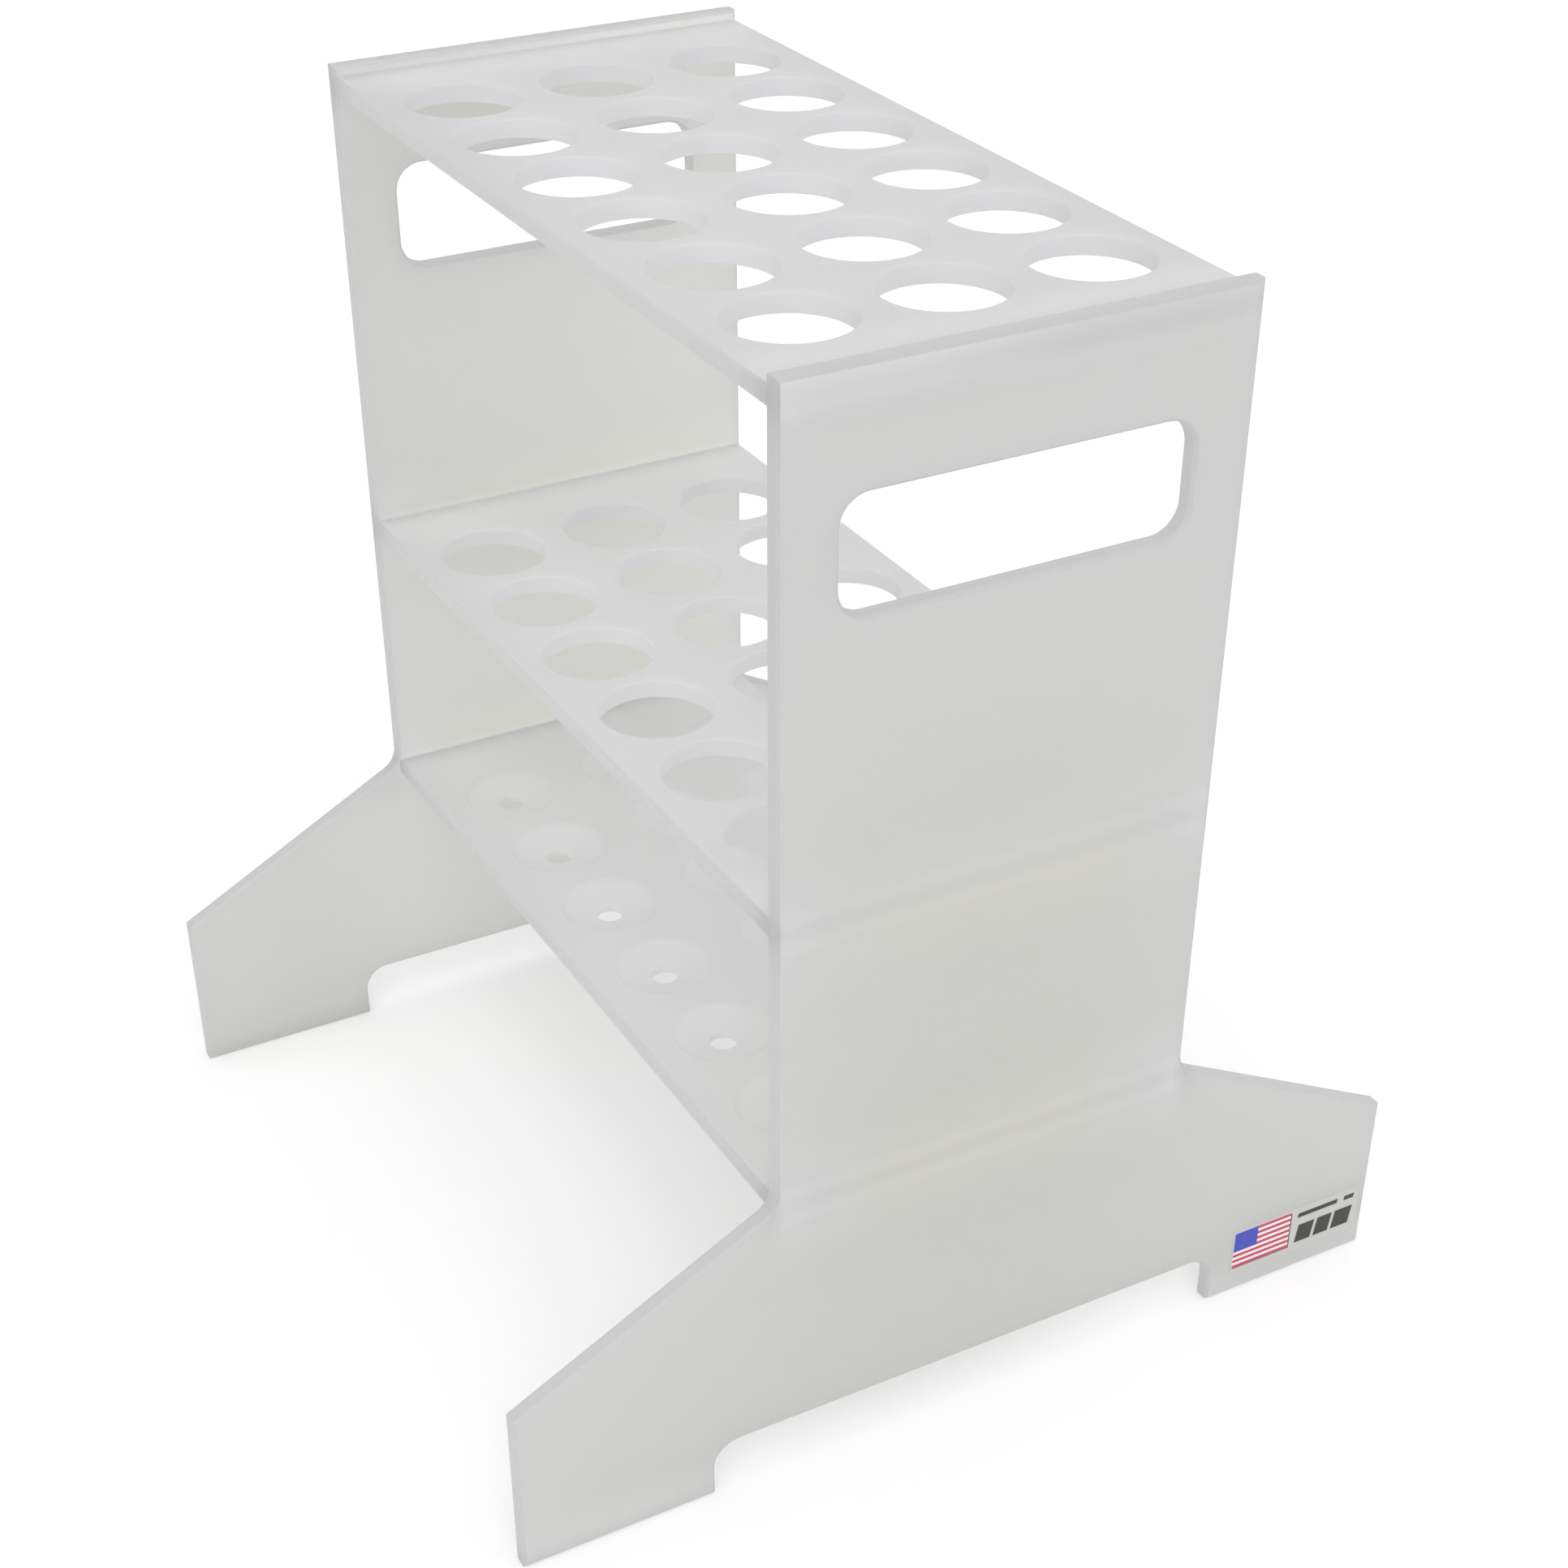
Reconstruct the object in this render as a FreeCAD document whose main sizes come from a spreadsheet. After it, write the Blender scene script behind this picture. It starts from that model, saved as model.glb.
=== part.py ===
import FreeCAD, Part
import os
import Sketcher

# Hydrometer rack of welded polypropylene sheet: two upright end plates with splayed feet
# carry three shelves. The top and middle shelves have a grid of through holes, and the
# bottom shelf has a dished seat with a drain hole under each of them.
# Frame: +X along the shelves towards the plate with the label, +Z up, origin on the floor
# under the middle of the rack.

# Driving dimensions in millimetres, and two least webs that set how many holes fit
SIZES = {
    "sheet_thickness": 6.35,       # plates and shelves are cut from one sheet
    "edge_break": 1.0,             # scraped edges of every sheet
    "shelf_length": 304.8,         # between the inner faces of the plates
    "upright_width": 152.4,        # plates above the shoulders, and the shelves
    "plate_height": 381.0,
    "foot_span": 336.5,            # toe to toe
    "toe_height": 63.5,            # upright outer edge of a foot
    "shoulder_height": 111.8,      # where a foot's slope meets the line of the upright
    "shoulder_radius": 9.5,
    "notch_span": 198.6,           # between the feet
    "notch_height": 20.3,
    "notch_radius": 9.5,
    "slot_width": 114.3,           # hand slot
    "slot_height": 36.2,
    "slot_radius": 9.5,
    "slot_drop": 36.1,             # from the top of the plate to the slot
    "top_lip": 3.2,                # plate above the top shelf
    "middle_height": 216.0,        # floor to the middle shelf's top face
    "bottom_height": 114.3,        # floor to the bottom shelf's top face
    "place_diameter": 38.1,        # holes
    "place_pitch": 44.45,          # along the shelf
    "row_pitch": 48.5,             # across the shelf
    "first_place": 44.45,          # from the shelf's end to the first hole's centre
    "end_web": 12.7,               # least web past the last hole
    "side_web": 6.0,               # least web beside the outer rows
    "rim_break": 0.5,              # scraped rims of the holes
    "seat_diameter": 35.0,         # dish, at the shelf's top face
    "seat_depth": 4.6,             # dish, at its centre
    "drain_diameter": 9.5,
    "label_width": 56.0,
    "label_height": 20.0,
    "label_thickness": 0.2,
    "label_corner": 1.5,
    "label_side_gap": 3.6,         # to the toe's outer edge
    "label_base_gap": 8.0,         # to the floor
}

HALF = 0.5
SHEET_NAME = "Sizes"


class Size:
    """A number together with the sheet formula that gives it."""

    def __init__(self, value, formula=None):
        self.value = value
        self.formula = formula or str(value)

    def joined(self, other, sign, value):
        return Size(value, f"({self.formula} {sign} {other.formula})")

    def __add__(self, other):
        return self.joined(other, "+", self.value + other.value)

    def __sub__(self, other):
        return self.joined(other, "-", self.value - other.value)

    def __mul__(self, other):
        other = other if isinstance(other, Size) else Size(other)
        return self.joined(other, "*", self.value * other.value)

    def __truediv__(self, other):
        return self.joined(other, "/", self.value / other.value)

    def __pow__(self, number):
        return self.joined(Size(number), "^", self.value ** number)

    def __neg__(self):
        return Size(-self.value, f"(0 - {self.formula})")

    def whole(self):
        """The whole number just below."""
        return Size(int(self.value // 1), f"floor({self.formula})")


def size(name):
    return Size(SIZES[name], f"{SHEET_NAME}.{name}")


ZERO = Size(0)
ONE = Size(1)


def make_sheet(doc):
    """Spreadsheet with one named cell for each driving dimension."""
    sheet = doc.addObject("Spreadsheet::Sheet", SHEET_NAME)
    for row, (name, value) in enumerate(SIZES.items(), start=1):
        sheet.set(f"A{row}", name)
        sheet.set(f"B{row}", str(value))
        sheet.setAlias(f"B{row}", name)
    doc.recompute()


def make_body(doc, name, place):
    """Body with its own label, put at place, three sizes in the rack's frame."""
    body = doc.addObject("PartDesign::Body", name)
    body.Label = name
    for axis, part in zip("xyz", place):
        body.setExpression(f".Placement.Base.{axis}", part.formula)
    return body


def datum(body, role):
    """Origin plane or axis of a body, by its role."""
    return next(item for item in body.Origin.OriginFeatures if item.Role == role)


def make_sketch(body, role, name, shift=(ZERO, ZERO, ZERO)):
    """Sketch on one of the body's origin planes, its own origin moved by shift."""
    sketch = body.newObject("Sketcher::SketchObject", name)
    sketch.AttachmentSupport = [(datum(body, role), "")]
    sketch.MapMode = "FlatFace"
    for axis, part in zip("xyz", shift):
        sketch.setExpression(f".AttachmentOffset.Base.{axis}", part.formula)
    return sketch


def fix_coordinate(sketch, kind, axis, line, point, coordinate):
    """Tie one coordinate of a line's end: to the axis when it is zero, or to a size."""
    if coordinate.value == 0:
        sketch.addConstraint(Sketcher.Constraint("PointOnObject", line, point, axis))
        return
    ends = (-1, 1, line, point)
    if coordinate.value < 0:
        ends = (line, point, -1, 1)
        coordinate = -coordinate
    index = sketch.addConstraint(Sketcher.Constraint(kind, *ends, coordinate.value))
    sketch.setExpression(f"Constraints[{index}]", coordinate.formula)


def fix_point(sketch, line, point, corner):
    fix_coordinate(sketch, "DistanceX", -2, line, point, corner[0])
    fix_coordinate(sketch, "DistanceY", -1, line, point, corner[1])


def vector(corner):
    return FreeCAD.Vector(corner[0].value, corner[1].value, 0)


def draw_outline(sketch, corners):
    """Closed outline of straight lines through the corners, each tied to its sizes."""
    count = len(corners)
    for index in range(count):
        following = corners[(index + 1) % count]
        sketch.addGeometry(Part.LineSegment(vector(corners[index]), vector(following)))
    for index, corner in enumerate(corners):
        following = (index + 1) % count
        sketch.addConstraint(Sketcher.Constraint("Coincident", index, 2, following, 1))
        fix_point(sketch, index, 1, corner)


def rectangle(width, height, base=ZERO):
    """Corners of a rectangle centred on the vertical axis and standing on base."""
    half = width * HALF
    return [(-half, base), (half, base), (half, base + height), (-half, base + height)]


def pad(body, sketch, name, length, downwards=False):
    feature = body.newObject("PartDesign::Pad", name)
    feature.Profile = sketch
    feature.Reversed = downwards
    feature.setExpression("Length", length.formula)
    return feature


def edges_near(shape, spots, tolerance=0.01):
    """Names of the straight edges along X whose line passes through the (y, z) spots."""
    names = []
    for index, edge in enumerate(shape.Edges, start=1):
        box = edge.BoundBox
        if box.YLength > tolerance or box.ZLength > tolerance:
            continue
        for y, z in spots:
            if abs(box.YMin - y.value) < tolerance and abs(box.ZMin - z.value) < tolerance:
                names.append(f"Edge{index}")
    return names


def edges_in_faces(shape, levels, tolerance=0.01):
    """Names of the edges that lie wholly in the planes X = one of the levels."""
    names = []
    for index, edge in enumerate(shape.Edges, start=1):
        box = edge.BoundBox
        flat = box.XLength < tolerance
        if flat and any(abs(box.XMin - level.value) < tolerance for level in levels):
            names.append(f"Edge{index}")
    return names


def dress(body, kind, name, base, edges, amount):
    """Fillet or chamfer on the named edges of the feature before it."""
    feature = body.newObject(f"PartDesign::{kind}", name)
    feature.Base = (base, edges)
    feature.setExpression("Radius" if kind == "Fillet" else "Size", amount.formula)
    body.Document.recompute()
    return feature


def pocket(body, sketch, name):
    """Cut through the sheet, and check that it removed material."""
    before = body.Tip.Shape.Volume
    feature = body.newObject("PartDesign::Pocket", name)
    feature.Profile = sketch
    feature.Type = "ThroughAll"
    feature.Midplane = True
    body.Document.recompute()
    if not feature.Shape.Volume < before:
        raise RuntimeError(f"{name} cut nothing")
    return feature


def plate_corners():
    """Outline of an end plate, seen along X, before its inner corners are rounded."""
    upright = size("upright_width") * HALF
    toe = size("foot_span") * HALF
    heel = size("notch_span") * HALF
    right_side = [
        (heel, size("notch_height")),
        (heel, ZERO),
        (toe, ZERO),
        (toe, size("toe_height")),
        (upright, size("shoulder_height")),
        (upright, size("plate_height")),
    ]
    left_side = [(-y, z) for y, z in reversed(right_side)]
    return right_side + left_side


def make_plate(doc, name, start):
    """End plate: one sheet with splayed feet, a notch between them and a hand slot."""
    body = make_body(doc, name, (start, ZERO, ZERO))
    thickness = size("sheet_thickness")
    outline = make_sketch(body, "YZ_Plane", f"{name}_outline")
    corners = plate_corners()
    draw_outline(outline, corners)
    blank = pad(body, outline, f"{name}_blank", thickness)
    doc.recompute()

    notch = [corners[0], corners[-1]]
    shoulders = [corners[4], corners[7]]
    rounded = dress(body, "Fillet", f"{name}_notch_corners", blank,
                    edges_near(blank.Shape, notch), size("notch_radius"))
    rounded = dress(body, "Fillet", f"{name}_shoulders", rounded,
                    edges_near(rounded.Shape, shoulders), size("shoulder_radius"))

    slot_base = size("plate_height") - size("slot_drop") - size("slot_height")
    slot_corners = rectangle(size("slot_width"), size("slot_height"), slot_base)
    opening = make_sketch(body, "YZ_Plane", f"{name}_slot_outline")
    draw_outline(opening, slot_corners)
    slot = pocket(body, opening, f"{name}_slot")
    rounded = dress(body, "Fillet", f"{name}_slot_corners", slot,
                    edges_near(slot.Shape, slot_corners), size("slot_radius"))
    dress(body, "Chamfer", f"{name}_scraped_edges", rounded,
          edges_in_faces(rounded.Shape, (ZERO, thickness)), size("edge_break"))
    return body


def places_along():
    """How many holes fit along the shelf."""
    spare = (size("shelf_length") - size("first_place") - size("place_diameter") * HALF
             - size("end_web"))
    return (spare / size("place_pitch")).whole() + ONE


def rows_across():
    """How many rows fit across the shelf."""
    spare = size("upright_width") - size("place_diameter") - size("side_web") * 2
    return (spare / size("row_pitch")).whole() + ONE


def grid_length():
    """From the first hole's centre to the last one's, along the shelf."""
    return size("place_pitch") * (places_along() - ONE)


def grid_width():
    """From the first row's line to the last one's, across the shelf."""
    return size("row_pitch") * (rows_across() - ONE)


def make_blank_shelf(doc, name, top):
    """Shelf without its holes: a strip of sheet with its top face at height top."""
    body = make_body(doc, name, (ZERO, ZERO, top))
    thickness = size("sheet_thickness")
    width = size("upright_width")
    outline = make_sketch(body, "XY_Plane", f"{name}_outline")
    draw_outline(outline, rectangle(size("shelf_length"), width, -width * HALF))
    blank = pad(body, outline, f"{name}_blank", thickness, downwards=True)
    doc.recompute()
    half = width * HALF
    long_edges = [(y, z) for y in (half, -half) for z in (ZERO, -thickness)]
    dress(body, "Chamfer", f"{name}_scraped_edges", blank,
          edges_near(blank.Shape, long_edges), size("edge_break"))
    return body


def first_axis(body, name):
    """Sketch of a turned cut, its vertical axis at the first hole of the first row."""
    along = size("first_place") - size("shelf_length") * HALF
    across = grid_width() * HALF
    return make_sketch(body, "XZ_Plane", name, shift=(along, ZERO, across))


def cut_grid(body, profile, name):
    """Turn the profile about its axis as a cut, and repeat it over the grid of places."""
    before = body.Tip.Shape.Volume
    cut = body.newObject("PartDesign::Groove", f"{name}_first")
    cut.Profile = profile
    cut.ReferenceAxis = (profile, ["V_Axis"])
    cut.Angle = 360
    body.Document.recompute()
    single = before - cut.Shape.Volume

    grid = body.newObject("PartDesign::LinearPattern", f"{name}_grid")
    grid.Originals = [cut]
    grid.Direction = (datum(body, "X_Axis"), [""])
    grid.setExpression("Length", grid_length().formula)
    grid.setExpression("Occurrences", places_along().formula)
    grid.Direction2 = (datum(body, "Y_Axis"), [""])
    grid.setExpression("Length2", grid_width().formula)
    grid.setExpression("Occurrences2", rows_across().formula)
    body.Tip = grid
    body.Document.recompute()
    wanted = single * places_along().value * rows_across().value
    removed = before - grid.Shape.Volume
    if abs(removed - wanted) > wanted * 1e-4:
        raise RuntimeError(f"{name} removed {removed:.1f} mm3 and not {wanted:.1f}")


def make_holed_shelf(doc, name, top):
    """Shelf with through holes, their rims scraped on both faces."""
    body = make_blank_shelf(doc, name, top)
    radius = size("place_diameter") * HALF
    scrape = size("rim_break")
    under = -size("sheet_thickness")
    profile = first_axis(body, f"{name}_hole_profile")
    draw_outline(profile, [
        (ZERO, ZERO),
        (radius + scrape, ZERO),
        (radius, -scrape),
        (radius, under + scrape),
        (radius + scrape, under),
        (ZERO, under),
    ])
    cut_grid(body, profile, f"{name}_hole")
    return body


def draw_seat(sketch):
    """Half section of a seat: a spherical dish down to the drain hole's rim."""
    rim = size("seat_diameter") * HALF
    drain = size("drain_diameter") * HALF
    depth = size("seat_depth")
    under = -size("sheet_thickness")
    sphere = (rim ** 2 + depth ** 2) / (depth * 2)
    centre_height = sphere.value - depth.value
    drain_top = centre_height - (sphere.value ** 2 - drain.value ** 2) ** HALF
    rim_point = FreeCAD.Vector(rim.value, 0, 0)
    low_point = FreeCAD.Vector(drain.value, drain_top, 0)
    circle = Part.Circle(FreeCAD.Vector(0, centre_height, 0), FreeCAD.Vector(0, 0, 1), sphere.value)
    dish = Part.ArcOfCircle(circle, circle.parameter(low_point), circle.parameter(rim_point))
    corners = [(ZERO, ZERO), (rim, ZERO), (drain, under), (ZERO, under)]
    top_line, dish_arc, wall, floor, axis_line = range(5)

    sketch.addGeometry(Part.LineSegment(vector(corners[0]), rim_point))
    sketch.addGeometry(dish)
    sketch.addGeometry(Part.LineSegment(low_point, vector(corners[2])))
    sketch.addGeometry(Part.LineSegment(vector(corners[2]), vector(corners[3])))
    sketch.addGeometry(Part.LineSegment(vector(corners[3]), vector(corners[0])))
    joined = [
        (top_line, 2, dish_arc, 2),
        (dish_arc, 1, wall, 1),
        (wall, 2, floor, 1),
        (floor, 2, axis_line, 1),
        (axis_line, 2, top_line, 1),
    ]
    for ends in joined:
        sketch.addConstraint(Sketcher.Constraint("Coincident", *ends))
    fix_point(sketch, top_line, 1, corners[0])
    fix_point(sketch, top_line, 2, corners[1])
    fix_point(sketch, floor, 1, corners[2])
    fix_point(sketch, floor, 2, corners[3])
    sketch.addConstraint(Sketcher.Constraint("Vertical", wall))
    sketch.addConstraint(Sketcher.Constraint("PointOnObject", dish_arc, 3, -2))
    index = sketch.addConstraint(Sketcher.Constraint("Radius", dish_arc, sphere.value))
    sketch.setExpression(f"Constraints[{index}]", sphere.formula)


def make_seat_shelf(doc, name, top):
    """Bottom shelf: a dished seat with a drain hole under every hole above."""
    body = make_blank_shelf(doc, name, top)
    profile = first_axis(body, f"{name}_seat_profile")
    draw_seat(profile)
    cut_grid(body, profile, f"{name}_seat")
    return body


def make_label(doc, name):
    """Thin printed film with rounded corners, stuck on a foot of the right-hand plate."""
    outer_face = size("shelf_length") * HALF + size("sheet_thickness")
    middle = (size("foot_span") * HALF - size("label_side_gap")
              - size("label_width") * HALF)
    body = make_body(doc, name, (outer_face, middle, size("label_base_gap")))
    outline = make_sketch(body, "YZ_Plane", f"{name}_outline")
    corners = rectangle(size("label_width"), size("label_height"))
    draw_outline(outline, corners)
    film = pad(body, outline, f"{name}_film", size("label_thickness"))
    doc.recompute()
    dress(body, "Fillet", f"{name}_corners", film,
          edges_near(film.Shape, corners), size("label_corner"))
    return body


def build_rack(doc):
    """All the pieces of the rack, in the rack's frame."""
    half_length = size("shelf_length") * HALF
    top_height = size("plate_height") - size("top_lip")
    return [
        make_plate(doc, "end_plate_left", -half_length - size("sheet_thickness")),
        make_plate(doc, "end_plate_right", half_length),
        make_holed_shelf(doc, "top_shelf", top_height),
        make_holed_shelf(doc, "middle_shelf", size("middle_height")),
        make_seat_shelf(doc, "bottom_shelf", size("bottom_height")),
        make_label(doc, "label"),
    ]


def check(doc, bodies):
    """Stop when a feature failed or a piece is not one valid solid."""
    for item in doc.Objects:
        if "Invalid" in item.State or "Error" in item.State:
            raise RuntimeError(f"{item.Name} failed: {item.State}")
    for body in bodies:
        shape = body.Shape
        if shape.isNull() or not shape.isValid() or len(shape.Solids) != 1:
            raise RuntimeError(f"{body.Label} is not one valid solid")


def export(bodies):
    os.makedirs("parts", exist_ok=True)
    for body in bodies:
        body.Shape.exportStep(os.path.join("parts", f"{body.Label}.step"))
        box = body.Shape.BoundBox
        print(f"{body.Label}: {body.Shape.Volume / 1000:.1f} cm3, "
              f"x {box.XMin:.2f}..{box.XMax:.2f}, y {box.YMin:.2f}..{box.YMax:.2f}, "
              f"z {box.ZMin:.2f}..{box.ZMax:.2f}")


document = FreeCAD.newDocument("hydrometer_rack")
make_sheet(document)
pieces = build_rack(document)
document.recompute()
check(document, pieces)
export(pieces)
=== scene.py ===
# %% [markdown]
# # A hydrometer rack of welded plastic sheet
# The rack is five pieces of milky, natural polypropylene sheet and one small printed label.
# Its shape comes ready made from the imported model, in metres, with the floor at z = 0.
# This lesson adds what the solids lack: the look of the sheet, the print on the label, the
# floor, the light and the camera.

import math

import bpy
import numpy as np
from mathutils import Matrix, Vector


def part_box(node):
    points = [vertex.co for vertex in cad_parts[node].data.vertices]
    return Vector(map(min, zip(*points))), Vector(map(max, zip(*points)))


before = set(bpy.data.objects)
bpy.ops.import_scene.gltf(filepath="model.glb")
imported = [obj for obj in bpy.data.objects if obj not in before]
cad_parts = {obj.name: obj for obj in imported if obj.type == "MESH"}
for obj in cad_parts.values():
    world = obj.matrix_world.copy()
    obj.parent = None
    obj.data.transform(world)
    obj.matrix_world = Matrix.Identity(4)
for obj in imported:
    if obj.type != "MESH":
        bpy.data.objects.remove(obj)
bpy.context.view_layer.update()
print("pieces:", sorted(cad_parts))

# %% [markdown]
# ## The sizes that the looks follow
# The finish changes at places that the solids already have: near the edges of a plate, at the
# heights of the shelves and around the holes. Heights and widths are read from the boxes of the
# pieces, so the finish follows them. A box doesn't tell the shape of a foot or of a hand slot,
# so their few sizes are written again further down.

# %% Places read from the solids
plate_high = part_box("end_plate_right")[1]
shelf_tops = {name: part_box(name)[1].z for name in ("top_shelf", "middle_shelf", "bottom_shelf")}
shelf_low, shelf_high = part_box("top_shelf")
label_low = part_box("label")[0]
SHEET = shelf_high.z - shelf_low.z
HALF_UPRIGHT = shelf_high.y
print("shelf heights in mm:", {name: round(z * 1000, 1) for name, z in shelf_tops.items()})

# %% [markdown]
# ## Shader maths as Python expressions
# A shader is a graph of small nodes. Wiring each one by hand hides the idea behind the
# plumbing, so a small class wraps a node's output and adds a Math node whenever it is added,
# multiplied or compared. A second class holds one material's graph and makes every other node.

# %% Wires and paint
class Wire:
    """One output of a shader node. Arithmetic on it adds Math nodes."""

    def __init__(self, paint, socket):
        self.paint = paint
        self.socket = socket

    def math(self, operation, *values):
        return self.paint.node("Math", {"operation": operation}, dict(enumerate(values))).out(0)

    def __add__(self, other):
        return self.math("ADD", self, other)

    def __radd__(self, other):
        return self.math("ADD", other, self)

    def __sub__(self, other):
        return self.math("SUBTRACT", self, other)

    def __rsub__(self, other):
        return self.math("SUBTRACT", other, self)

    def __mul__(self, other):
        return self.math("MULTIPLY", self, other)

    def __rmul__(self, other):
        return self.math("MULTIPLY", other, self)

    def __truediv__(self, other):
        return self.math("DIVIDE", self, other)

    def __abs__(self):
        return self.math("ABSOLUTE", self)

    def least(self, other):
        return self.math("MINIMUM", self, other)

    def most(self, other):
        return self.math("MAXIMUM", self, other)

    def rise(self, start, end):
        """0 below start, 1 above end, and a smooth S between them."""
        settings = {"interpolation_type": "SMOOTHSTEP"}
        sockets = {"Value": self, "From Min": start, "From Max": end}
        return self.paint.node("MapRange", settings, sockets).out(0)


class Node:
    """A shader node whose outputs are wires."""

    def __init__(self, paint, node):
        self.paint = paint
        self.node = node

    def out(self, key):
        return Wire(self.paint, self.node.outputs[key])


class Graph:
    """A node tree, emptied, with one output of the given kind."""

    def __init__(self, tree, output):
        self.tree = tree
        self.tree.nodes.clear()
        self.surface = self.node(output).node.inputs["Surface"]

    def node(self, kind, settings=None, sockets=None):
        """Any node: its type, then its settings, then the values or wires of its sockets."""
        node = self.tree.nodes.new("ShaderNode" + kind)
        for key, value in (settings or {}).items():
            setattr(node, key, value)
        for key, value in (sockets or {}).items():
            self.plug(node, key, value)
        return Node(self, node)

    def plug(self, node, key, value):
        """Give the input with that name, number or identifier a value or a wire."""
        if isinstance(key, int):
            socket = node.inputs[key]
        else:
            found = [s for s in node.inputs if s.identifier == key] or [node.inputs[key]]
            socket = found[0]
        if isinstance(value, Wire):
            self.tree.links.new(value.socket, socket)
        else:
            socket.default_value = value

    def show(self, wire):
        self.tree.links.new(wire.socket, self.surface)

    def seen(self):
        """1 where the surface is looked at, straight or by way of something shiny or clear,
        and 0 where it only lights something."""
        ray = self.node("LightPath")
        clear = ray.out("Is Transmission Ray") * (1.0 - ray.out("Is Diffuse Ray"))
        return ray.out("Is Camera Ray").most(ray.out("Is Glossy Ray")).most(clear)


class Paint(Graph):
    """The node graph of one material, with its surface shader."""

    def __init__(self, name):
        self.material = bpy.data.materials.new(name)
        self.material.use_nodes = True
        super().__init__(self.material.node_tree, "OutputMaterial")
        self.shader = self.node("BsdfPrincipled")
        self.show(self.shader.out("BSDF"))

    def let_through(self, share, colour):
        """Let the surface show the light behind it: share is how much of what it shows."""
        behind = self.node("BsdfTranslucent", sockets={"Color": (*colour, 1.0)}).out(0)
        sockets = {0: share, 1: self.shader.out("BSDF"), 2: behind}
        self.show(self.node("MixShader", sockets=sockets).out(0))

    def finish(self, **sockets):
        """Set the sockets of the surface shader: numbers stay numbers, wires are linked."""
        for key, value in sockets.items():
            self.plug(self.shader.node, key.replace("_", " "), value)
        return self.material

    def place(self):
        """Object coordinates as a vector, and as three numbers."""
        vector = self.node("TexCoord").out("Object")
        parts = self.node("SeparateXYZ", sockets={0: vector})
        return vector, [parts.out(axis) for axis in "XYZ"]

    def facing(self):
        """The three parts of the surface's direction, in the object's own axes."""
        parts = self.node("SeparateXYZ", sockets={0: self.node("TexCoord").out("Normal")})
        return [parts.out(axis) for axis in "XYZ"]

    def noise(self, vector, scale, detail=2.0, roughness=0.5):
        sockets = {"Vector": vector, "Scale": scale, "Detail": detail, "Roughness": roughness}
        return self.node("TexNoise", sockets=sockets).out(0)

    def blend(self, factor, first, second):
        """Mix of two colours, each a triple or a wire."""
        sockets = {"Factor_Float": factor}
        for key, colour in (("A_Color", first), ("B_Color", second)):
            sockets[key] = colour if isinstance(colour, Wire) else (*colour, 1.0)
        node = self.node("Mix", {"data_type": "RGBA"}, sockets)
        return Wire(self, next(s for s in node.node.outputs if s.identifier == "Result_Color"))

    def colour(self, triple):
        """A plain colour as a wire."""
        return self.blend(0.0, triple, triple)

    def scale_colour(self, colour, amount):
        """Colour made lighter or darker by a wire around 1."""
        node = self.node("VectorMath", {"operation": "SCALE"}, {0: colour, "Scale": amount})
        return node.out(0)

    def bump(self, height, distance):
        return self.node("Bump", sockets={"Height": height, "Distance": distance}).out(0)


def give_finish(piece, finish):
    """Give a piece one material in place of its own."""
    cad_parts[piece].data.materials.clear()
    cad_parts[piece].data.materials.append(finish)


def linear(red, green, blue):
    """Scene colour of a screen colour given in levels from 0 to 255."""
    levels = np.array((red, green, blue)) / 255.0
    low, high = levels / 12.92, ((levels + 0.055) / 1.055) ** 2.4
    return tuple(float(v) for v in np.where(levels <= 0.04045, low, high))


# %% [markdown]
# ## Natural polypropylene
# The sheet is milky: about as much light passes through it as comes back, so the inside of the
# rack is nearly as bright as the outside. Subsurface scattering could do this, but it is slow
# and other programs drop it. A Translucent shader, mixed into the surface, gives the same
# light: it enters through one face of the solid sheet, spreads inside and leaves by the other.
# The tone is not even: deep inside a large plate it is a warm grey, and near an edge, where
# light leaves sideways, it is a cooler grey.

# %% Tones of the sheet
WARM_GREY = linear(235, 234, 228)
COOL_GREY = linear(235, 235, 236)
CUT_GREY = linear(199, 199, 200)
SHELF_CUT = linear(207, 207, 208)
PLATE_THROUGH = linear(242, 242, 241)
SPECK = linear(120, 115, 105)

# How much of what a face shows comes through from behind it
SHARE_THROUGH = 0.7
SHARE_AT_CUT = 0.45
SHARE_AT_JOINT = 0.58
SHARE_AT_TOP = 0.38


def add_grain(paint, vector):
    """Cloudy and fine variation of the sheet, around 1."""
    clouds = paint.noise(vector, 9.0, 3.0) - 0.5
    grain = paint.noise(vector, 420.0, 2.0, 0.6) - 0.5
    return 1.0 + clouds * 0.03 + grain * 0.02


def add_specks(paint, vector):
    """Few dark specks: points far apart, of which only some are used."""
    cells = paint.node("TexVoronoi", {"feature": "F1"}, {"Vector": vector, "Scale": 24.0})
    chosen = paint.node("SeparateColor", sockets={0: cells.out("Color")}).out(0)
    return (1.0 - cells.out("Distance").rise(0.006, 0.011)) * chosen.rise(0.86, 0.87)


def make_sheet(name, tone, behind):
    """Material of one kind of sheet piece. tone gives its colour over the surface and how
    much of what it shows comes from behind, and behind is the colour of that light."""
    paint = Paint(name)
    vector, place = paint.place()
    colour, share = tone(paint, vector, place, paint.facing())
    colour = paint.scale_colour(colour, add_grain(paint, vector))
    colour = paint.blend(add_specks(paint, vector), colour, SPECK)
    matt = 0.42 + paint.noise(vector, 60.0, 2.0) * 0.12
    height = paint.noise(vector, 260.0, 3.0, 0.6)
    paint.let_through(share, behind)
    return paint.finish(Base_Color=colour, Roughness=matt, Normal=paint.bump(height, 0.00006),
                        IOR=1.49)


def between(z, low, high, below, above):
    """1 from low to high. It falls to 0 over the distance below, and over the one above."""
    return z.rise(low - below, low) - z.rise(high, high + above)


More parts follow.
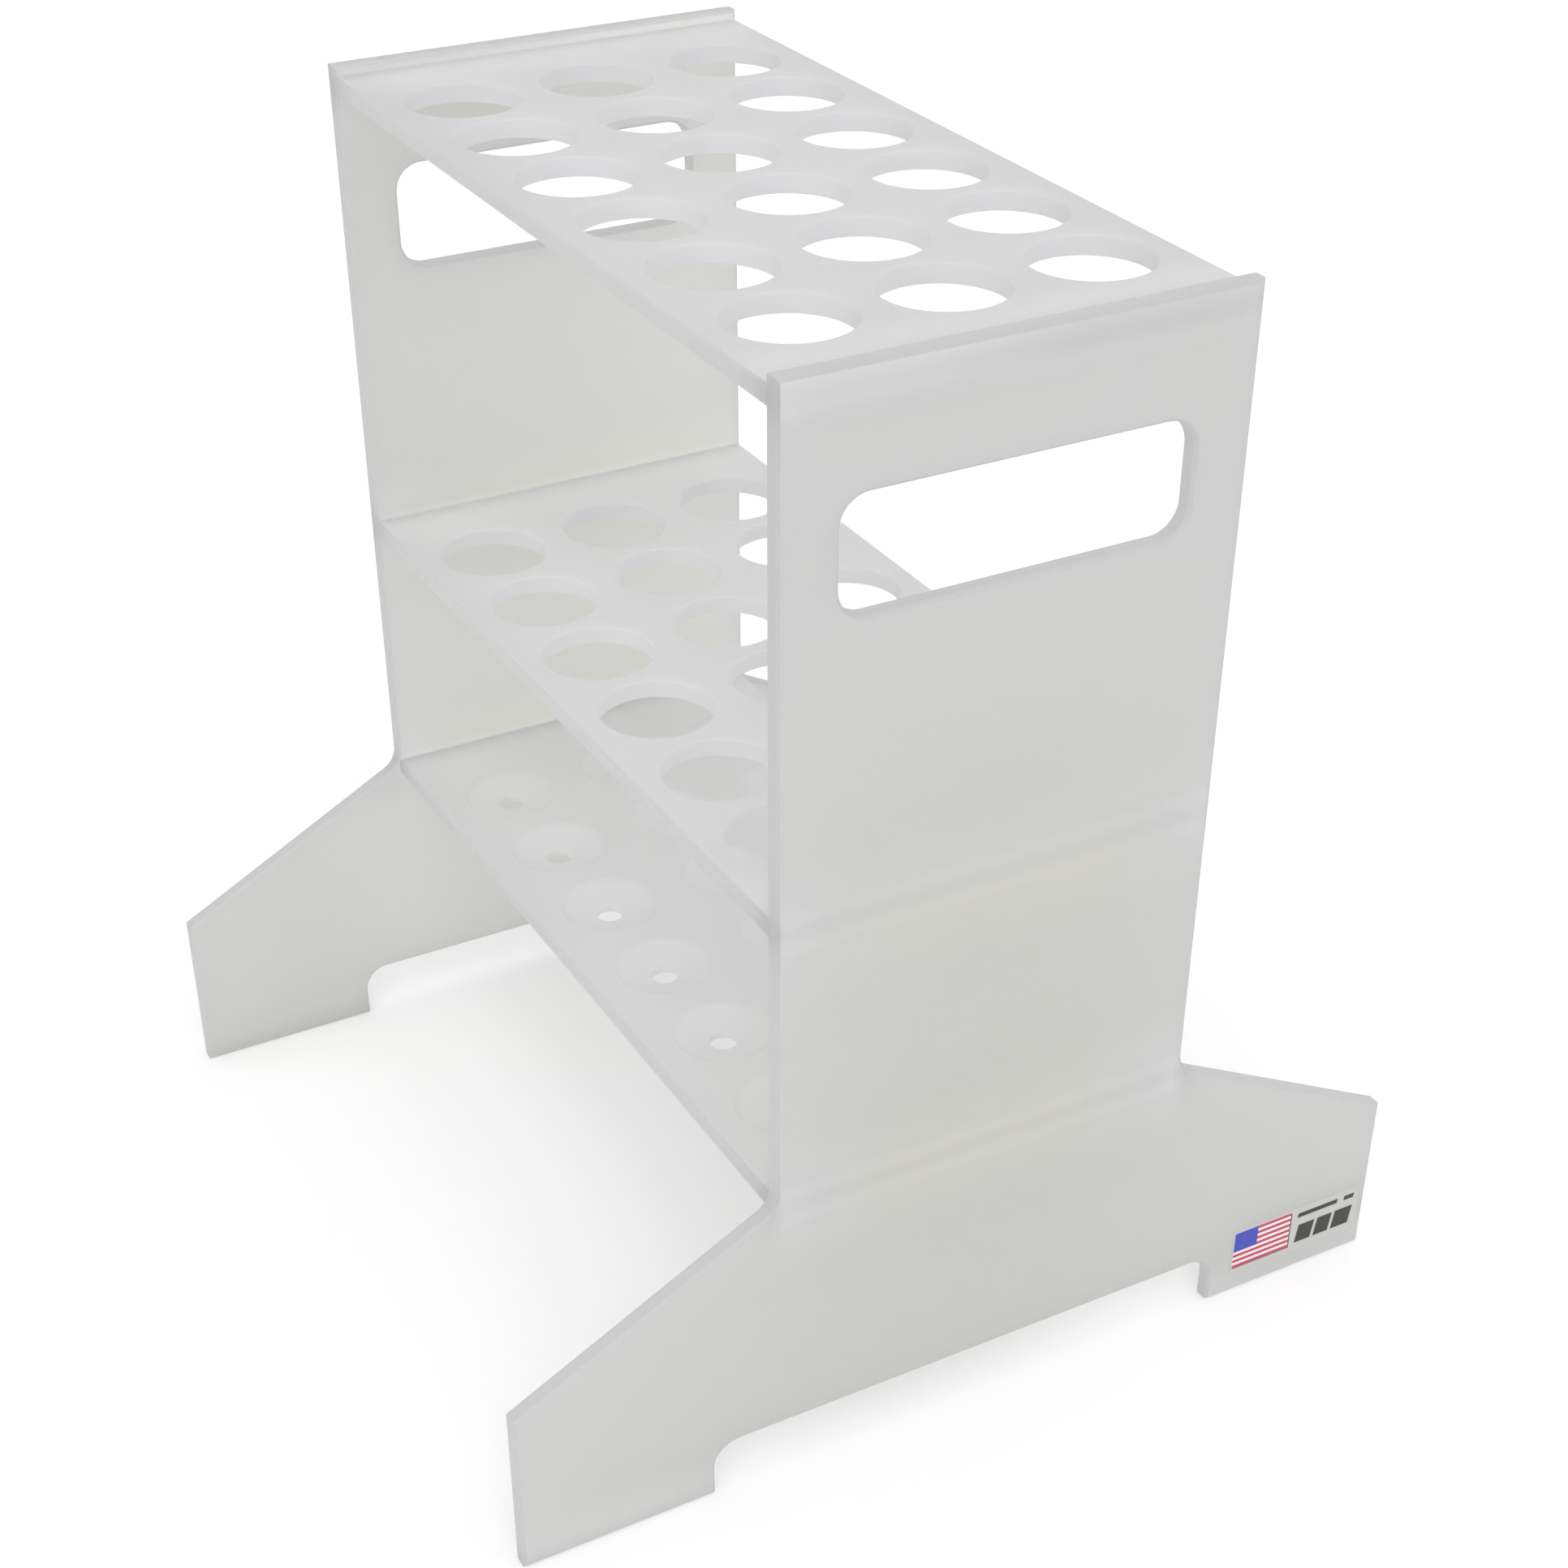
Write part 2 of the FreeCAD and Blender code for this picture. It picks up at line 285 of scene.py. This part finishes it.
def joint_gap(z):
    """Height from a point to the nearest shelf's end, and less than 0 behind it."""
    gaps = [abs(z - (top - SHEET / 2)) - SHEET / 2 for top in shelf_tops.values()]
    return gaps[0].least(gaps[1]).least(gaps[2])


def near(gap, spread):
    """1 where there is no gap, and 0 where it is larger than spread."""
    return 1.0 - gap.rise(0.0, spread)


# %% Outline of an end plate, in metres
FOOT_HALF = plate_high.y
TOE_TOP = 0.0635
SHOULDER = 0.1118
SLOPE = math.atan2(SHOULDER - TOE_TOP, FOOT_HALF - HALF_UPRIGHT)
SLOT_HALF = 0.05715
SLOT_BASE, SLOT_TOP = 0.3087, 0.3449
TOP_JOINT = shelf_tops["top_shelf"] - SHEET


def depth_inside(across, z):
    """How far a point of a plate lies inside its outline. It is the least distance to the
    sides and top of the upright, or to the end, slope and underside of a foot, and the larger
    of the two, but no more than the distance to the hand slot. across is the distance from
    the middle."""
    upright = (HALF_UPRIGHT - across).least(plate_high.z - z)
    slope = (FOOT_HALF - across) * math.sin(SLOPE) + (TOE_TOP - z) * math.cos(SLOPE)
    foot = (FOOT_HALF - across).least(slope).least(z)
    middle, half_height = (SLOT_BASE + SLOT_TOP) / 2, (SLOT_TOP - SLOT_BASE) / 2
    slot = (across - SLOT_HALF).most(abs(z - middle) - half_height)
    return upright.most(foot).least(slot)


# %% [markdown]
# ## The tone of an end plate
# A plate is lit from both sides, and a shelf that is welded to it takes light away from behind.
# The outer and the inner face differ, so the tone is worked out for each zone of them: the
# zones below are 0 or 1 with soft borders, and each has a lift of painted light that is added
# to the plate's own lightness. It fills the shade at the joints, in the corners, towards the
# rear, in the low bay, on the legs and by the floor, and lights bands beside the joints and
# near the outline. Where a shelf hides the light behind the plate, the face shows less of what
# comes through and more of its own white.

# %% Painted light: lifts and reaches of the zones
PLATE_LIGHT = 0.85
SKIRT_PAINTED_LIGHT, SKIRT_REACH = 0.06, 0.030
INNER_JOINT_PAINTED_LIGHT, INNER_JOINT_REACH = 0.12, 0.022
CORNER_PAINTED_LIGHT, CORNER_REACH = 0.16, 0.004
REAR_PAINTED_LIGHT = 0.25
LOW_BAY_PAINTED_LIGHT, LOW_BAY = 0.11, (0.114, 0.190)
LEG_PAINTED_LIGHT = 0.13
RIM_PAINTED_LIGHT = 0.04
BY_FLOOR_PAINTED_LIGHT = 0.20
WELD_LESS, WELD_REACH = 0.16, 0.0075
BESIDE_WELD_LESS, BESIDE_WELD_REACH = 0.125, 0.024
# Painted shade on the cut edges, and painted light and shade on the edges that face up
CUT_SHADE = 0.11
TOP_EDGE_PAINTED_LIGHT, LEDGE_SHADE = 0.18, 0.08


def plate_colour(paint, vector, z, depth, outside):
    """Warm inside the plate, and cool near its outline, over the middle shelf and low down."""
    wander = (paint.noise(vector, 16.0, 4.0, 0.65) - 0.5) * 0.05
    start, reach = outside * 0.006 + 0.001, outside * 0.022 + 0.010
    warm = ((depth + wander - start) / reach).rise(0.0, 1.0)
    shelf = shelf_tops["middle_shelf"]
    over_shelf = between(z, shelf, shelf + 0.012, 0.008, 0.024)
    low_part = 1.0 - z.rise(0.050, 0.110)
    warm = warm * (1.0 - outside * (over_shelf * 0.6 + low_part * 0.45))
    return paint.blend(warm, COOL_GREY, WARM_GREY)


def plate_painted_light(across, y, z, gap, depth, outside, on_upright):
    """Lightness of a plate's faces with painted light: the lifts for the zones of the inner face,
    then those of the outer.
    """
    inside = 1.0 - outside
    inner_joint = near(gap, INNER_JOINT_REACH) * inside * on_upright
    corner = near(gap, CORNER_REACH) * inside * on_upright
    rear = y.rise(-0.08, 0.08) * REAR_PAINTED_LIGHT
    low_bay = between(z, *LOW_BAY, 0.010, 0.025) * LOW_BAY_PAINTED_LIGHT
    leg = (1.0 - z.rise(0.090, 0.106)) * (1.0 - across.rise(0.060, 0.130)) * LEG_PAINTED_LIGHT
    skirt = near(gap, SKIRT_REACH) * outside * on_upright
    rim = (1.0 - depth.rise(0.002, 0.018)) * RIM_PAINTED_LIGHT
    by_floor = (1.0 - z.rise(0.0, 0.022)) * BY_FLOOR_PAINTED_LIGHT
    light = PLATE_LIGHT + inner_joint * INNER_JOINT_PAINTED_LIGHT + corner * CORNER_PAINTED_LIGHT
    light = light + inside * (rear + low_bay + leg)
    return light + skirt * SKIRT_PAINTED_LIGHT + outside * (rim + by_floor)


def plate_share(y, z, gap, outside, on_upright):
    """How much of what a plate's faces show comes through from behind."""
    upper = 1.0 - z.rise(0.340, 0.360) * 0.4
    weld = near(gap, WELD_REACH) * WELD_LESS
    weld = weld + near(gap, BESIDE_WELD_REACH) * upper * BESIDE_WELD_LESS
    inner_joint = near(gap, INNER_JOINT_REACH) * (1.0 - outside)
    share = SHARE_THROUGH - weld * outside * on_upright
    share = share - inner_joint * on_upright * (SHARE_THROUGH - SHARE_AT_JOINT)
    top_band = z.rise(TOP_JOINT - 0.006, TOP_JOINT + 0.001) * outside
    top_band = top_band * (1.0 - y.rise(-0.045, 0.085) * 0.65)
    return share.least(SHARE_THROUGH - top_band * (SHARE_THROUGH - SHARE_AT_TOP))


def plate_cut(paint, x, z, facing):
    """Tone of the cut edges, with painted shade and light. Those of the right plate get painted
    shade towards the top, and an edge that faces up gets painted light at the top of a plate and
    painted shade in a hand slot."""
    shade = z.rise(0.12, 0.38) * x.rise(-0.01, 0.01) * abs(facing[1])
    facing_up = facing[2].rise(0.3, 0.9) * (z.rise(0.32, 0.36) * TOP_EDGE_PAINTED_LIGHT - LEDGE_SHADE)
    return paint.scale_colour(paint.colour(CUT_GREY), 1.0 - shade * CUT_SHADE + facing_up)


def plate_tone(paint, vector, place, facing):
    """Colour and share of an end plate, over its faces and its cut edges."""
    x, y, z = place
    across = abs(y)
    outside = (x * facing[0]).rise(-0.01, 0.01)
    on_upright = 1.0 - across.rise(HALF_UPRIGHT - 0.004, HALF_UPRIGHT + 0.004)
    gap, depth = joint_gap(z), depth_inside(across, z)
    colour = plate_colour(paint, vector, z, depth, outside)
    # The plate's colour is scaled by its lightness with painted light.
    light = plate_painted_light(across, y, z, gap, depth, outside, on_upright)
    colour = paint.scale_colour(colour, light)
    share = plate_share(y, z, gap, outside, on_upright)
    cut = 1.0 - abs(facing[0]).rise(0.75, 0.97)
    colour = paint.blend(cut, colour, plate_cut(paint, x, z, facing))
    return colour, share + cut * (SHARE_AT_CUT - share)


plate_finish = make_sheet("plate_sheet", plate_tone, PLATE_THROUGH)
for name in ("end_plate_left", "end_plate_right"):
    give_finish(name, plate_finish)
print("plate finish:", plate_finish.name, "slope of a foot:", round(math.degrees(SLOPE), 1))

# %% [markdown]
# ## The shelves
# The shelves are the same sheet. Seen through the holes, a cut wall looks a little bluer than
# the face. The middle and bottom shelves sit in the shade inside the rack, and their lighter
# grey is painted light. The welded ends and the grooves there get painted light, the near side
# of the left half gets painted shade, and cut faces that turn down get painted light. The
# bottom shelf is milled into dishes, and the thin floor of a dish is painted lighter for the
# light that comes through it.

# %% The shelves
WALL_BLUE = 5
WELDED_END = 0.034
GROOVE_PAINTED_LIGHT = 0.12
NEAR_LEFT_SHADE = 0.10
DISH_PAINTED_LIGHT = 0.09
DOWN_PAINTED_LIGHT = 0.14
# Per shelf: name, grey of the faces with painted light lower in the rack, grey of the hole walls,
# and painted light at the welded ends
SHELVES = (("top_shelf", 238, 238, 0.15),
           ("middle_shelf", 244, 236, 0.16),
           ("bottom_shelf", 244, 240, 0.11))


def shelf_finish(name, level, wall_level, end_lift):
    """Sheet finish for one shelf. level is the grey of its faces, lighter as painted light for a
    shelf in the shade lower in the rack, and wall_level that of the walls of its holes. Its ends,
    where it is welded on, are lighter by end_lift, painted light for the shade of the joint."""
    low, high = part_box(name)
    face = linear(level, level, level)
    wall = linear(wall_level, wall_level, wall_level + WALL_BLUE)

    def tone(paint, vector, place, facing):
        x, y, z = place
        flat = abs(facing[2]).rise(0.2, 0.6)
        colour = paint.blend(flat, wall, face)
        joint = abs(x).rise(high.x - WELDED_END, high.x)
        groove = abs(x).rise(high.x - 0.0014, high.x - 0.0008)
        near_side = 1.0 - y.rise(low.y, low.y + 0.022)
        left_half = 1.0 - x.rise(low.x * 0.5, high.x * 0.3)
        # Painted light at the welded ends and in the grooves there, and painted shade on the near
        # side of the left half
        light = 1.0 + joint * end_lift + groove * GROOVE_PAINTED_LIGHT
        light = light - near_side * left_half * NEAR_LEFT_SHADE
        colour = paint.scale_colour(colour, light)
        if name == "bottom_shelf":
            sunk = high.z - z
            dish = sunk.rise(0.0004, 0.0010) * (1.0 - sunk.rise(0.0046, 0.0050))
            # The thin floor of a dish is painted lighter, for the light that comes through it
            colour = paint.scale_colour(colour, 1.0 + dish * DISH_PAINTED_LIGHT)
        share = SHARE_THROUGH - joint * (SHARE_THROUGH - SHARE_AT_JOINT)
        cut = abs(y).rise(high.y - 0.0012, high.y - 0.0008)
        # Cut faces that turn down get painted light
        turned_down = (0.0 - facing[2]).rise(0.3, 0.6)
        cut_with_painted_light = paint.scale_colour(paint.colour(SHELF_CUT), 1.0 + turned_down * DOWN_PAINTED_LIGHT)
        return paint.blend(cut, colour, cut_with_painted_light), share + cut * (SHARE_AT_CUT - share)

    return make_sheet(name + "_sheet", tone, face)


for name, level, wall_level, end_lift in SHELVES:
    give_finish(name, shelf_finish(name, level, wall_level, end_lift))
    print("shelf finish:", name)

# %% [markdown]
# ## The label
# A thin clear film carries the print. It has a block of plain stripes with a blue corner, and
# two rows of dark bars beside it. All of it is worked out from the place on the film, so the
# print needs no picture.

# %% Print on the film
PRINT_BLUE = linear(52, 66, 178)
PRINT_RED = linear(190, 48, 80)
PRINT_DARK = linear(42, 42, 41)
PRINT_WHITE = linear(228, 226, 228)
FILM = linear(192, 192, 188)

# Places on the film in metres, from its lower left corner
BLOCK = (0.0006, 0.0254, 0.0028, 0.0188)
OUTLINE, OUTLINE_RIGHT = 0.0004, 0.0005
STRIPES = 13
CORNER_WIDTH, CORNER_BASE_STRIPE = 0.0102, 6
THIN_BARS = ((0.0262, 0.0440), (0.0470, 0.0515))
THIN_ROW = (0.0152, 0.0172)
THICK_BARS = ((0.0278, 0.0350), (0.0363, 0.0430), (0.0443, 0.0522))
THICK_ROW = (0.0036, 0.0116)
BAR_LEAN = 0.15
BAR_EDGE = 0.00015


def bar(u, v, left, right, low, high, lean=0.0):
    """1 inside a bar on the film, 0 outside. u runs across and v up, in metres, and lean is
    how far the bar leans to the right for each metre up."""
    u = u - v * lean
    across = u.rise(left - BAR_EDGE, left + BAR_EDGE) - u.rise(right - BAR_EDGE, right + BAR_EDGE)
    upward = v.rise(low - BAR_EDGE, low + BAR_EDGE) - v.rise(high - BAR_EDGE, high + BAR_EDGE)
    return across * upward


def make_label():
    """Print of the label: a block of stripes with a blue corner, and two rows of dark bars."""
    paint = Paint("label_print")
    vector, (_, y, z) = paint.place()
    u, v = y - label_low.y, z - label_low.z
    left, right, low, high = BLOCK
    step = (high - low) / STRIPES
    around = bar(u, v, left + OUTLINE, right + OUTLINE_RIGHT, low - OUTLINE, high - OUTLINE)
    colour = paint.blend(around, FILM, PRINT_DARK)
    colour = paint.blend(bar(u, v, left, right, low, high), colour, PRINT_WHITE)
    for index in range(0, STRIPES, 2):
        stripe = bar(u, v, left, right, low + index * step, low + (index + 1) * step)
        colour = paint.blend(stripe, colour, PRINT_RED)
    corner = bar(u, v, left, left + CORNER_WIDTH, low + CORNER_BASE_STRIPE * step, high)
    colour = paint.blend(corner, colour, PRINT_BLUE)
    for bars, row in ((THIN_BARS, THIN_ROW), (THICK_BARS, THICK_ROW)):
        for first, last in bars:
            colour = paint.blend(bar(u, v, first, last, *row, BAR_LEAN), colour, PRINT_DARK)
    rubbed = paint.noise(vector, 900.0, 2.0)
    return paint.finish(Base_Color=colour, Roughness=0.34 + rubbed * 0.1, IOR=1.5,
                        Normal=paint.bump(rubbed, 0.00002))


give_finish("label", make_label())

# %% [markdown]
# ## Floor and light
# The rack stands on a plain white floor in even, soft light, as on a photographer's table. Most
# of the light comes from the whole white surround, and two wide soft lamps, one above and one
# in front, give it a direction. The floor is white and keeps the soft shadow under the rack.

# %% Floor
FLOOR_SPAN = 14.0
FLOOR_LINES = 9
BOARD = (0.86, 0.86, 0.86)
BOARD_LIFT = 0.14


def make_floor():
    """Flat square grid, worked out from two parameters."""
    steps = np.linspace(-0.5, 0.5, FLOOR_LINES) * FLOOR_SPAN
    x, y = np.meshgrid(steps, steps, indexing="ij")
    points = np.stack([x.ravel(), y.ravel(), np.zeros(x.size)], axis=1)
    index = np.arange(x.size).reshape(x.shape)
    corners = [index[:-1, :-1], index[1:, :-1], index[1:, 1:], index[:-1, 1:]]
    quads = np.stack([c.ravel() for c in corners], axis=1)
    mesh = bpy.data.meshes.new("floor")
    mesh.from_pydata(points.tolist(), [], quads.tolist())
    floor = bpy.data.objects.new("floor", mesh)
    bpy.context.scene.collection.objects.link(floor)
    return floor


def floor_finish():
    """White board. Where it is looked at it is lifted to white, and shadows stay."""
    material = bpy.data.materials.new("floor_board")
    material.use_nodes = True
    graph = Graph(material.node_tree, "OutputMaterial")
    board = graph.node("BsdfDiffuse", sockets={"Color": (*BOARD, 1.0)}).out(0)
    lift = graph.node("Emission", sockets={"Strength": graph.seen() * BOARD_LIFT}).out(0)
    graph.show(graph.node("AddShader", sockets={0: board, 1: lift}).out(0))
    return material


floor = make_floor()
floor.data.materials.append(floor_finish())

# %% Light
SURROUND = 0.7


def make_surround():
    """White surround. It is plain white where it is looked at, and lights the rack softly."""
    world = bpy.data.worlds.new("surround")
    bpy.context.scene.world = world
    world.use_nodes = True
    graph = Graph(world.node_tree, "OutputWorld")
    strength = graph.seen() * (1.0 - SURROUND) + SURROUND
    sockets = {"Color": (1.0, 1.0, 1.0, 1.0), "Strength": strength}
    graph.show(graph.node("Background", sockets=sockets).out(0))


make_surround()


def add_lamp(name, towards, strength, width):
    """Distant soft lamp that shines from a direction and looks width degrees wide."""
    data = bpy.data.lights.new(name, "SUN")
    data.energy = strength
    data.angle = math.radians(width)
    lamp = bpy.data.objects.new(name, data)
    bpy.context.scene.collection.objects.link(lamp)
    lamp.rotation_euler = Vector(towards).to_track_quat("Z", "Y").to_euler()


add_lamp("top_lamp", (0.2, 0.1, 1.0), 0.8, 70.0)
add_lamp("front_lamp", (0.8, -0.5, 0.5), 0.95, 60.0)

# %% [markdown]
# ## Camera
# The camera stands where straight edges of the rack show that it stood: it was fitted to them
# with the solids' own sizes. The picture is cut from a larger one, so the lens is shifted.

# %% Camera
PICTURE = 1932
SENSOR_WIDTH = 36.0
FOCAL_PIXELS = 3219.67
CENTRE_PIXELS = (971.02, 1227.77)
TURN, TILT, ROLL = (math.radians(a) for a in (61.191, 35.170, 0.132))
STAND = Vector((0.70523, -0.37314, 0.63107))

side = Vector((math.cos(TURN), math.sin(TURN), 0.0))
ahead = Vector((-math.sin(TURN), math.cos(TURN), 0.0))
look = ahead * math.cos(TILT) - Vector((0.0, 0.0, math.sin(TILT)))
up = side.cross(look)
right = side * math.cos(ROLL) + up * math.sin(ROLL)
upright = up * math.cos(ROLL) - side * math.sin(ROLL)

camera_data = bpy.data.cameras.new("camera")
camera_data.sensor_width = SENSOR_WIDTH
camera_data.lens = FOCAL_PIXELS / PICTURE * SENSOR_WIDTH
camera_data.shift_x = 0.5 - CENTRE_PIXELS[0] / PICTURE
camera_data.shift_y = CENTRE_PIXELS[1] / PICTURE - 0.5
camera_data.clip_start = 0.01
camera = bpy.data.objects.new("camera", camera_data)
bpy.context.scene.collection.objects.link(camera)
axes = Matrix((right, upright, -look)).transposed()
camera.matrix_world = Matrix.Translation(STAND) @ axes.to_4x4()
bpy.context.scene.camera = camera
print("lens in mm:", round(camera_data.lens, 2), "shift:", round(camera_data.shift_y, 4))

# %% [markdown]
# ## Finish
# The plain view transform shows each colour about as it is written.

# %% View transform
bpy.context.scene.view_settings.view_transform = "Standard"
